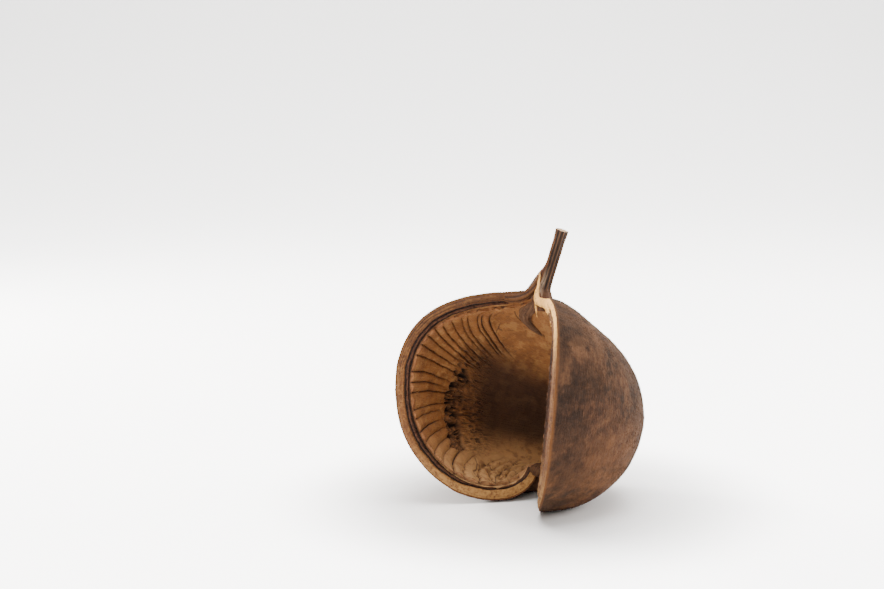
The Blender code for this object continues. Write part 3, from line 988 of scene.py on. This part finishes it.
def add(tree, kind, inputs=None, **settings):
    made = tree.nodes.new(kind)
    for key, value in settings.items():
        setattr(made, key, value)
    for key, value in (inputs or {}).items():
        if isinstance(value, bpy.types.NodeSocket):
            tree.links.new(value, made.inputs[key])
        else:
            made.inputs[key].default_value = value
    return made


def start_group(name, inputs, output):
    group = bpy.data.node_groups.new(name, "ShaderNodeTree")
    for socket, kind, value in inputs:
        made = group.interface.new_socket(name=socket, in_out="INPUT", socket_type=kind)
        if value is not None:
            made.default_value = value
    group.interface.new_socket(name=output, in_out="OUTPUT", socket_type="NodeSocketFloat")
    return group, group.nodes.new("NodeGroupInput"), group.nodes.new("NodeGroupOutput")


def math_node(tree, operation, first, second):
    return add(tree, "ShaderNodeMath", {0: first, 1: second}, operation=operation).outputs[0]


def spread_noise(group, source, sink, inputs):
    # Noise spread to 0..1 between the group's two levels, as its mask.
    cloud = add(group, "ShaderNodeTexNoise", inputs)
    spread = add(group, "ShaderNodeMapRange", {
        "Value": cloud.outputs[0], "From Min": source.outputs["Low"],
        "From Max": source.outputs["High"]}, interpolation_type="SMOOTHSTEP")
    group.links.new(spread.outputs[0], sink.inputs["Mask"])
    return group


def mottle_group():
    # Soft patches: noise of a given grain, spread to 0..1 between two levels.
    group, source, sink = start_group("patches", (
        ("Where", "NodeSocketVector", None), ("Per metre", "NodeSocketFloat", 100.0),
        ("Detail", "NodeSocketFloat", 3.0), ("Low", "NodeSocketFloat", 0.35),
        ("High", "NodeSocketFloat", 0.65)), "Mask")
    return spread_noise(group, source, sink, {
        "Vector": source.outputs["Where"], "Scale": source.outputs["Per metre"],
        "Detail": source.outputs["Detail"], "Roughness": 0.6})


def fibre_group():
    # Streaks along the fibres: noise pulled out along the flow.
    group, source, sink = start_group("fibres", (
        ("Flow", "NodeSocketVector", None), ("Across per metre", "NodeSocketFloat", 900.0),
        ("Along per metre", "NodeSocketFloat", 60.0), ("Low", "NodeSocketFloat", 0.35),
        ("High", "NodeSocketFloat", 0.65)), "Mask")
    split = add(group, "ShaderNodeSeparateXYZ", {0: source.outputs["Flow"]})
    across = math_node(group, "MULTIPLY", split.outputs[0], source.outputs["Across per metre"])
    along = math_node(group, "MULTIPLY", split.outputs[1], source.outputs["Along per metre"])
    other = math_node(group, "MULTIPLY", split.outputs[2], source.outputs["Across per metre"])
    pulled = add(group, "ShaderNodeCombineXYZ", {0: across, 1: along, 2: other})
    return spread_noise(group, source, sink, {
        "Vector": pulled.outputs[0], "Scale": 1.0, "Detail": 4.0, "Roughness": 0.65})


def pore_group():
    # Small round pits, scattered: 1 in a pit.
    group, source, sink = start_group("pores", (
        ("Where", "NodeSocketVector", None), ("Per metre", "NodeSocketFloat", 600.0),
        ("Size", "NodeSocketFloat", 0.25)), "Mask")
    cells = add(group, "ShaderNodeTexVoronoi", {
        "Vector": source.outputs["Where"], "Scale": source.outputs["Per metre"]})
    inner = math_node(group, "MULTIPLY", source.outputs["Size"], 0.5)
    spread = add(group, "ShaderNodeMapRange", {
        "Value": cells.outputs["Distance"], "From Min": inner,
        "From Max": source.outputs["Size"], "To Min": 1.0, "To Max": 0.0},
        interpolation_type="SMOOTHSTEP")
    group.links.new(spread.outputs[0], sink.inputs["Mask"])
    return group


PATCHES = mottle_group()
FIBRES = fibre_group()
PORES = pore_group()


class Finish:
    # One material under construction: a colour that is painted over in steps.
    def __init__(self, name, colour, roughness, specular):
        self.material = bpy.data.materials.new(name)
        self.material.use_nodes = True
        self.tree = self.material.node_tree
        self.shader = self.tree.nodes["Principled BSDF"]
        self.shader.inputs["Roughness"].default_value = roughness
        self.shader.inputs["Specular IOR Level"].default_value = specular
        self.where = add(self.tree, "ShaderNodeTexCoord").outputs["Object"]
        self.colour = add(self.tree, "ShaderNodeRGB").outputs[0]
        self.colour.default_value = paint(*colour)
        self.height = None

    def mask(self, name):
        return add(self.tree, "ShaderNodeAttribute", attribute_name=name).outputs["Fac"]

    def group(self, group, inputs):
        return add(self.tree, "ShaderNodeGroup", inputs, node_tree=group).outputs[0]

    def flow(self):
        return add(self.tree, "ShaderNodeAttribute", attribute_name="flow").outputs["Vector"]

    def patches(self, size_mm, low=0.35, high=0.65, detail=3.0):
        return self.group(PATCHES, {"Where": self.where, "Per metre": 1000.0 / size_mm,
                                    "Low": low, "High": high, "Detail": detail})

    def fibres(self, across_mm, along_mm, low=0.35, high=0.65):
        return self.group(FIBRES, {"Flow": self.flow(), "Across per metre": 1000.0 / across_mm,
                                   "Along per metre": 1000.0 / along_mm, "Low": low, "High": high})

    def pores(self, spacing_mm, size=0.25):
        return self.group(PORES, {"Where": self.where, "Per metre": 1000.0 / spacing_mm,
                                  "Size": size})

    def times(self, first, second):
        return math_node(self.tree, "MULTIPLY", first, second)

    def without(self, mask, other):
        # The mask where the other one is not.
        return self.times(mask, math_node(self.tree, "SUBTRACT", 1.0, other))

    def level(self, start, end):
        # 0 at one height over the floor and 1 at the other.
        height = add(self.tree, "ShaderNodeSeparateXYZ", {0: self.where}).outputs[2]
        return add(self.tree, "ShaderNodeMapRange", {
            "Value": height, "From Min": start, "From Max": end}).outputs[0]

    def glaze(self, colour, mask, strength):
        # Another colour over the last one, where the mask says.
        amount = self.times(mask, strength)
        made = add(self.tree, "ShaderNodeMix", {0: amount, 6: self.colour, 7: paint(*colour)},
                   data_type="RGBA")
        self.colour = made.outputs[2]

    def raise_by(self, mask, millimetres):
        part = self.times(mask, millimetres * MM)
        self.height = part if self.height is None else math_node(self.tree, "ADD", self.height, part)

    def deepen(self, red, green, blue):
        # The whole colour taken down by a linear share per channel.
        made = add(self.tree, "ShaderNodeMix", {0: 1.0, 6: self.colour, 7: (red, green, blue, 1.0)},
                   data_type="RGBA", blend_type="MULTIPLY")
        self.colour = made.outputs[2]

    def done(self):
        self.tree.links.new(self.colour, self.shader.inputs["Base Color"])
        if self.height is not None:
            bump = add(self.tree, "ShaderNodeBump", {"Height": self.height, "Strength": 1.0,
                                                     "Distance": 1.0})
            self.tree.links.new(bump.outputs[0], self.shader.inputs["Normal"])
        return self.material


# Heights over the floor, in metres, from where a tint is absent to where it is full. These tints are painted
# light and painted shade by height, some over a real warm or pale tone.
SKIN_WARM_AND_LIT_LEVEL = (0.060, 0.002)
SKIN_PALE_AND_LIT_LEVEL = (0.070, 0.110)
LIP_TOP_SHADE_LEVEL = (0.080, 0.114)
LIP_FOOT_LIGHT_LEVEL = (0.035, 0.008)
LINING_PALE_AND_LIT_LEVEL = (0.036, 0.012)

# How far the paint of skin and hairs is taken down, in red, green and blue.
SKIN_DEEPEN = (0.51, 0.43, 0.36)


def skin_material():
    finish = Finish("velvet skin", (62, 41, 29), 0.95, 0.15)
    finish.glaze((30, 19, 13), finish.patches(24.0, 0.38, 0.60), 0.8)
    finish.glaze((104, 75, 53), finish.patches(13.0, 0.50, 0.64, 5.0), 0.7)
    finish.glaze((98, 70, 50), finish.patches(3.6, 0.46, 0.62, 5.0), 0.45)
    finish.glaze((46, 30, 20), finish.patches(5.0, 0.50, 0.64, 5.0), 0.45)
    finish.glaze((112, 84, 62), finish.fibres(0.55, 8.0, 0.48, 0.70), 0.5)
    finish.glaze((34, 22, 15), finish.fibres(0.7, 6.0, 0.50, 0.70), 0.45)
    # Lower skin: warm tone with painted light from the floor below; upper skin: pale tone with painted light
    # from above.
    warm_lit = finish.times(finish.level(*SKIN_WARM_AND_LIT_LEVEL), finish.patches(11.0, 0.28, 0.62, 5.0))
    finish.glaze((150, 106, 70), warm_lit, 0.70)
    pale = finish.times(finish.level(*SKIN_PALE_AND_LIT_LEVEL), finish.patches(9.0, 0.30, 0.66, 5.0))
    finish.glaze((138, 104, 77), pale, 0.75)
    # Painted shade in patches on the skin beside the right lip.
    finish.glaze((26, 16, 10), finish.times(finish.mask("near"), finish.patches(14.0, 0.36, 0.52)), 0.6)
    finish.glaze((128, 88, 52), finish.mask("edge"), 0.6)
    finish.raise_by(finish.fibres(0.7, 7.0, 0.3, 0.7), 0.16)
    finish.raise_by(finish.patches(1.0, 0.3, 0.7), 0.12)
    finish.deepen(*SKIN_DEEPEN)
    finish.shader.inputs["Sheen Weight"].default_value = 0.06
    finish.shader.inputs["Sheen Roughness"].default_value = 0.4
    finish.shader.inputs["Sheen Tint"].default_value = paint(226, 200, 172)
    return finish.done()


def hair_material():
    finish = Finish("skin hairs", (54, 36, 25), 0.85, 0.15)
    finish.glaze((112, 86, 64), finish.mask("shade"), 0.7)
    finish.glaze((44, 29, 19), finish.patches(24.0, 0.44, 0.58), 0.6)
    finish.deepen(*SKIN_DEEPEN)
    return finish.done()


def lip_material():
    finish = Finish("split lip", (158, 112, 68), 0.75, 0.25)
    finish.glaze((200, 152, 98), finish.mask("crest"), 0.40)
    finish.glaze((116, 76, 44), finish.patches(6.0, 0.47, 0.64, 4.0), 0.65)
    finish.glaze((88, 55, 32), finish.fibres(0.75, 14.0, 0.54, 0.66), 0.6)
    finish.glaze((212, 166, 110), finish.fibres(0.5, 8.0, 0.56, 0.72), 0.5)
    # Upper right band, crest and spur: pale golden tone with a painted highlight.
    finish.glaze((240, 184, 112), finish.mask("pale"), 0.85)
    finish.glaze((168, 116, 68), finish.times(finish.mask("pale"), finish.patches(3.0, 0.50, 0.66)), 0.5)
    finish.glaze((130, 86, 48), finish.patches(1.5, 0.48, 0.60, 5.0), 0.6)
    finish.glaze((206, 158, 98), finish.patches(2.2, 0.54, 0.64, 5.0), 0.5)
    pores = finish.times(finish.pores(1.4, 0.26), finish.patches(4.0, 0.36, 0.50))
    finish.glaze((70, 42, 24), pores, 0.85)
    # Painted shade on the upper lips, away from the pale band.
    finish.glaze((92, 60, 34), finish.without(finish.level(*LIP_TOP_SHADE_LEVEL), finish.mask("pale")), 0.55)
    # Painted shade on the lower right band.
    finish.glaze((104, 68, 36), finish.mask("band_shade"), 0.40)
    # Painted light in pale grains on the lips near the floor.
    foot_light = finish.times(finish.level(*LIP_FOOT_LIGHT_LEVEL), finish.patches(1.6, 0.30, 0.58, 5.0))
    finish.glaze((250, 206, 140), foot_light, 0.85)
    # Upper left strand beside the stalk: reddish tone with painted light, as on the stalk's flank.
    finish.glaze((122, 74, 44), finish.mask("warm_lit"), 0.75)
    finish.glaze((48, 29, 18), finish.mask("groove"), 0.85)
    finish.glaze((68, 42, 33), finish.mask("split"), 0.94)
    finish.glaze((118, 84, 62), finish.times(finish.mask("split"), finish.patches(1.1, 0.48, 0.58)), 0.75)
    finish.glaze((128, 84, 58), finish.mask("glow"), 0.7)
    finish.glaze((20, 12, 8), finish.mask("dark"), 0.9)
    pale_bark = finish.times(finish.mask("weather"), finish.fibres(0.9, 8.0, 0.30, 0.52))
    finish.glaze((176, 164, 148), pale_bark, 0.8)
    finish.deepen(0.38, 0.30, 0.21)
    # Painted highlight in bright grains on the upper right band, crest and spur, away from the split.
    whole = finish.without(finish.mask("pale"), finish.mask("split"))
    finish.glaze((248, 188, 106), finish.times(whole, finish.patches(1.8, 0.26, 0.52, 5.0)), 0.90)
    finish.raise_by(finish.fibres(0.5, 8.0, 0.3, 0.7), 0.14)
    finish.raise_by(pores, -0.3)
    finish.raise_by(finish.patches(1.1, 0.3, 0.7, 5.0), 0.28)
    return finish.done()


def furrow_lines(finish, width_mm):
    # Fine dark line on every whole furrow number.
    tree = finish.tree
    shifted = math_node(tree, "ADD", finish.mask("number"), 0.5)
    part = math_node(tree, "SUBTRACT", math_node(tree, "FRACT", shifted, 0.0), 0.5)
    distance = finish.times(math_node(tree, "ABSOLUTE", part, 0.0), finish.mask("gap"))
    line = add(tree, "ShaderNodeMapRange", {"Value": distance, "From Min": 0.08 * width_mm,
                                            "From Max": width_mm, "To Min": 1.0, "To Max": 0.0})
    return finish.times(line.outputs[0], finish.mask("cut"))


def lining_material():
    finish = Finish("lining", (160, 110, 62), 0.72, 0.25)
    finish.glaze((128, 82, 43), finish.patches(15.0, 0.45, 0.60), 0.65)
    finish.glaze((196, 148, 92), finish.patches(8.0, 0.50, 0.64, 4.0), 0.5)
    finish.glaze((112, 70, 36), finish.fibres(8.0, 0.8, 0.53, 0.68), 0.5)
    finish.glaze((200, 154, 98), finish.fibres(9.0, 1.2, 0.54, 0.70), 0.4)
    finish.glaze((96, 60, 32), finish.patches(2.6, 0.55, 0.68, 5.0), 0.45)
    # Lower lining: pale tone with painted light from above.
    foot = finish.level(*LINING_PALE_AND_LIT_LEVEL)
    finish.glaze((232, 188, 130), foot, 0.6)
    finish.glaze((120, 76, 42), finish.times(foot, finish.patches(4.0, 0.50, 0.62, 6.0)), 0.65)
    # Painted shade in the deep hollow.
    finish.glaze((44, 21, 8), finish.mask("deep_shade"), 0.85)
    finish.glaze((84, 51, 27), finish.mask("torn"), 0.7)
    finish.glaze((150, 104, 62), finish.times(finish.mask("torn"), finish.patches(2.4, 0.48, 0.58)), 0.75)
    finish.glaze((52, 30, 16), finish.mask("wrinkle"), 0.75)
    finish.glaze((122, 74, 42), finish.mask("lip"), 0.5)
    # Broad darkening along the furrows: painted shade of the convex panels between them.
    finish.glaze((86, 52, 28), furrow_lines(finish, 1.3), 0.45)
    finish.glaze((38, 21, 12), furrow_lines(finish, 0.42), 0.85)
    # Dark cracks, and the painted shadow beside the root.
    finish.glaze((40, 23, 13), finish.mask("crack_and_shadow"), 0.85)
    # Holes and crevices painted near black: painted shade in them.
    finish.glaze((20, 11, 6), finish.mask("pit"), 0.88)
    finish.deepen(0.57, 0.52, 0.49)
    finish.raise_by(finish.fibres(6.0, 0.8, 0.3, 0.7), 0.16)
    finish.raise_by(finish.patches(0.9, 0.3, 0.7), 0.12)
    finish.raise_by(furrow_lines(finish, 0.6), -0.35)
    return finish.done()


def stalk_material():
    finish = Finish("stalk bark", (92, 66, 46), 0.85, 0.25)
    finish.glaze((150, 118, 88), finish.fibres(0.5, 12.0, 0.52, 0.66), 0.6)
    # Reddish flank of the stalk with painted light on the view's left side.
    finish.glaze((132, 84, 52), finish.mask("warm_lit"), 0.75)
    finish.glaze((112, 84, 62), finish.mask("root"), 0.75)
    finish.glaze((132, 112, 94), finish.times(finish.mask("root"), finish.fibres(0.5, 9.0, 0.52, 0.64)), 0.6)
    # Flute valleys painted near black: a dark valley tone with painted shade, which leaves the ridges as
    # lighter lines.
    finish.glaze((22, 14, 10), finish.mask("flute_shade"), 0.92)
    finish.glaze((56, 38, 27), finish.patches(2.5, 0.52, 0.64), 0.5)
    pale_bark = finish.times(finish.mask("weather"), finish.fibres(0.9, 8.0, 0.36, 0.56))
    finish.glaze((176, 164, 148), pale_bark, 0.85)
    finish.glaze((226, 204, 170), finish.mask("cut"), 0.9)
    finish.deepen(0.60, 0.50, 0.42)
    finish.raise_by(finish.fibres(0.5, 9.0, 0.3, 0.7), 0.2)
    return finish.done()


# Stage: sizes in metres, the view's turn in degrees, and the paper's own glow with the
# distances from the pod between which it comes in and fades.
SWEEP_WIDTH = 9.0
SWEEP_NEAR = -2.5
SWEEP_FAR = 1.3
SWEEP_RADIUS = 1.1
SWEEP_STEPS = 28
SWEEP_HEIGHT = 4.0
VIEW_DEG = 37.9
GLOW = 4.5
GLOW_FROM = 0.07
GLOW_TO = 0.16
GLOW_FADE_FROM = 0.8
GLOW_FADE_TO = 2.4
GLOW_FAR = 0.34


def stage_material():
    finish = Finish("pale floor", (248, 247, 246), 0.9, 0.5)
    finish.glaze((242, 241, 240), finish.patches(240.0), 0.4)
    # Away from the pod the paper glows: painted light standing in for lamps out of sight, held back near the
    # pod so that its shadow stays.
    away = add(finish.tree, "ShaderNodeVectorMath", {0: finish.where}, operation="LENGTH").outputs["Value"]
    near = add(finish.tree, "ShaderNodeMapRange", {
        "Value": away, "From Min": GLOW_FROM, "From Max": GLOW_TO,
        "To Max": GLOW}, interpolation_type="SMOOTHSTEP")
    far = add(finish.tree, "ShaderNodeMapRange", {
        "Value": away, "From Min": GLOW_FADE_FROM, "From Max": GLOW_FADE_TO,
        "To Min": 1.0, "To Max": GLOW_FAR})
    glow = finish.times(near.outputs[0], far.outputs[0])
    finish.shader.inputs["Emission Color"].default_value = paint(252, 250, 248)
    finish.tree.links.new(glow, finish.shader.inputs["Emission Strength"])
    return finish.done()


def make_stage():
    # Floor that turns up into a backdrop in one sweep, square to the view.
    deselect()
    middle = (SWEEP_NEAR + SWEEP_FAR) / 2.0
    bpy.ops.mesh.primitive_plane_add(size=1.0, location=(0.0, 0.0, 0.0))
    floor = bpy.context.object
    floor.name = "floor"
    bpy.ops.object.mode_set(mode="EDIT")
    bpy.ops.mesh.select_all(action="SELECT")
    bpy.ops.transform.resize(value=(SWEEP_WIDTH, SWEEP_FAR - SWEEP_NEAR, 1.0))
    bpy.ops.transform.translate(value=(0.0, middle, -0.0005))
    bpy.ops.mesh.select_mode(type="EDGE")
    bpy.ops.mesh.select_all(action="DESELECT")
    bpy.ops.object.mode_set(mode="OBJECT")
    for edge in floor.data.edges:
        edge.select = all(floor.data.vertices[index].co.y > SWEEP_FAR - 0.01 for index in edge.vertices)
    bpy.ops.object.mode_set(mode="EDIT")
    turns = [math.radians(90.0 * step / SWEEP_STEPS) for step in range(SWEEP_STEPS + 1)]
    for before, after in zip(turns[:-1], turns[1:]):
        bpy.ops.mesh.extrude_region_move(TRANSFORM_OT_translate={"value": (
            0.0, SWEEP_RADIUS * (math.sin(after) - math.sin(before)),
            SWEEP_RADIUS * (math.cos(before) - math.cos(after)))})
    bpy.ops.mesh.extrude_region_move(TRANSFORM_OT_translate={"value": (0.0, 0.0, SWEEP_HEIGHT)})
    bpy.ops.mesh.select_all(action="SELECT")
    bpy.ops.mesh.normals_make_consistent(inside=True)
    bpy.ops.transform.rotate(value=math.radians(-VIEW_DEG), orient_axis="Z", center_override=(0.0, 0.0, 0.0))
    bpy.ops.object.mode_set(mode="OBJECT")
    bpy.ops.object.shade_smooth()
    floor.data.materials.append(stage_material())


def area_light(name, energy, size, where, colour):
    data = bpy.data.lights.new(name, "AREA")
    data.energy = energy
    data.size = size
    data.color = colour
    lamp = bpy.data.objects.new(name, data)
    bpy.context.scene.collection.objects.link(lamp)
    lamp.location = where
    lamp.rotation_euler = (Vector(LIGHT_TARGET) - Vector(where)).to_track_quat("-Z", "Y").to_euler()


# Camera: place and aim in metres, lens and sensor in millimetres.
CAMERA_AT = (0.53032, -0.76328, 0.26181)
CAMERA_TOWARD = (-0.04363, -0.02728, 0.11396)
CAMERA_LENS = 70.0
CAMERA_SENSOR = 36.0


def make_camera():
    data = bpy.data.cameras.new("camera")
    data.lens = CAMERA_LENS
    data.sensor_width = CAMERA_SENSOR
    camera = bpy.data.objects.new("camera", data)
    bpy.context.scene.collection.objects.link(camera)
    camera.location = CAMERA_AT
    way = Vector(CAMERA_TOWARD) - Vector(CAMERA_AT)
    camera.rotation_euler = way.to_track_quat("-Z", "Y").to_euler()
    bpy.context.scene.camera = camera


# Lights: energy in watts, size in metres, and place as metres to the view's right, toward
# the camera and up.
LIGHTS = (("key", 19.0, 0.22, (-0.84, -0.54, 0.34), (1.0, 0.97, 0.93)),
          ("top", 34.0, 0.9, (0.05, 0.10, 1.2), (1.0, 0.99, 0.98)),
          ("right", 11.0, 0.50, (0.95, -0.10, 0.45), (1.0, 0.97, 0.94)),
          ("front", 4.5, 0.60, (-0.15, 0.90, 0.55), (1.0, 0.96, 0.91)))
LIGHT_TARGET = (0.0, 0.0, 0.06)
WORLD_COLOUR = (238, 239, 242)
WORLD_STRENGTH = 0.26


def make_light():
    world = bpy.data.worlds.new("studio")
    world.use_nodes = True
    world.node_tree.nodes["Background"].inputs[0].default_value = paint(*WORLD_COLOUR)
    world.node_tree.nodes["Background"].inputs[1].default_value = WORLD_STRENGTH
    bpy.context.scene.world = world
    turn = math.radians(VIEW_DEG)
    right = Vector((math.cos(turn), math.sin(turn), 0.0))
    nearer = Vector((math.sin(turn), -math.cos(turn), 0.0))
    for name, energy, size, (aside, near, high), colour in LIGHTS:
        where = right * aside + nearer * near + Vector((0.0, 0.0, high))
        area_light(name, energy, size, where, colour)


make_camera()
outer, inward = make_skin(skin_material())
lip_finish = lip_material()
make_lip("left_lip", -1.0, lip_finish)
make_lip("right_lip", 1.0, lip_finish)
lining_finish = lining_material()
make_lining("left_lining", -1.0, lining_finish)
make_lining("right_lining", 1.0, lining_finish)
bark_finish = stalk_material()
make_stalk(bark_finish)
make_strands(lip_finish)
make_root(bark_finish)
make_beak(lip_finish)
make_hairs(outer, inward, hair_material())
make_stage()
make_light()
